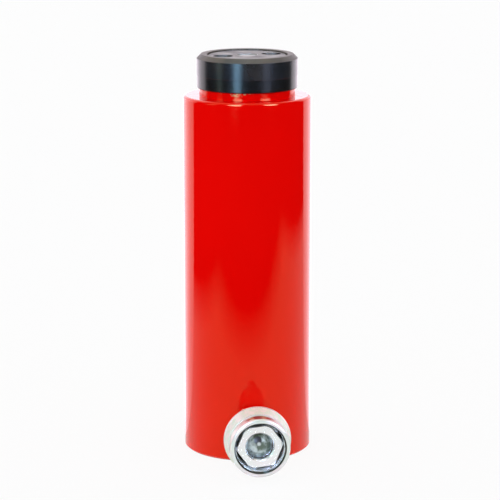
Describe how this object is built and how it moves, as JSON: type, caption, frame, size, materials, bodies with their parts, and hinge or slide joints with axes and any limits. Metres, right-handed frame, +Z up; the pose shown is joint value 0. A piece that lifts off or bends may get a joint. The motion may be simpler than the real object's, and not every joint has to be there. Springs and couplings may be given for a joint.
{
  "type": "hydraulic cylinder jack",
  "caption": "Single-acting spring-return hydraulic cylinder with a flat base, gland ring, swivelling saddle and a screw coupler near the base.",
  "frame": {"origin": "centre of the base's bottom face", "axes": "+Z up along the plunger; the coupler points towards -Y"},
  "size_m": [0.07, 0.1089, 0.22],
  "materials": {
    "body_paint": "glossy red enamel",
    "black_oxide": "semi-gloss black oxide over turned steel",
    "saddle_black": "worn black oxide with a dull sheen",
    "hard_chrome": "ground and polished hard chrome",
    "zinc_plate": "bright zinc plate",
    "bearing_steel": "polished ball",
    "plain_steel": "turned steel, oiled",
    "spring_steel": "drawn wire, oiled",
    "black_rubber": "nitrile rubber",
    "seal_polyurethane": "amber polyurethane",
    "guide_strip": "filled guide strip"
  },
  "bodies": {
    "barrel": {"barrel": "body_paint", "gland_ring": "black_oxide", "rod_wiper": "black_rubber", "gland_guide": "guide_strip", "lower_spring_plug": "plain_steel", "return_spring": "spring_steel", "coupler_body": "zinc_plate", "coupler_nose": "zinc_plate", "coupler_nose_seal": "black_rubber", "coupler_body_seal": "black_rubber", "coupler_spring": "spring_steel"},
    "plunger": {"plunger": "hard_chrome", "piston_seal": "seal_polyurethane", "seal_backup_ring": "guide_strip", "seal_retainer": "plain_steel", "retainer_clip": "spring_steel", "piston_guide_lower": "guide_strip", "piston_guide_upper": "guide_strip", "upper_spring_plug": "plain_steel"},
    "saddle": {"saddle": "saddle_black", "saddle_ring": "black_rubber"},
    "collar": {"coupler_collar": "zinc_plate"},
    "ball": {"coupler_ball": "bearing_steel"}
  },
  "joints": [
    {"name": "plunger_slide", "type": "slide", "parent": "barrel", "child": "plunger", "axis": [0, 0, 1], "range_m": [0, 0.1], "stiffness_N_per_m": 900, "springref_m": -0.03, "deforming": ["return_spring"]},
    {"name": "saddle_turn", "type": "hinge", "parent": "plunger", "child": "saddle", "pos_m": [0, 0, 0.2], "axis": [0, 0, 1], "continuous": true},
    {"name": "collar_spin", "type": "hinge", "parent": "barrel", "child": "collar", "pos_m": [0, -0.06, 0.0191], "axis": [0, -1, 0], "continuous": true},
    {"name": "ball_check", "type": "slide", "parent": "barrel", "child": "ball", "axis": [0, 1, 0], "range_m": [0, 0.003], "stiffness_N_per_m": 1500, "springref_m": -0.001, "deforming": ["coupler_spring"]}
  ]
}
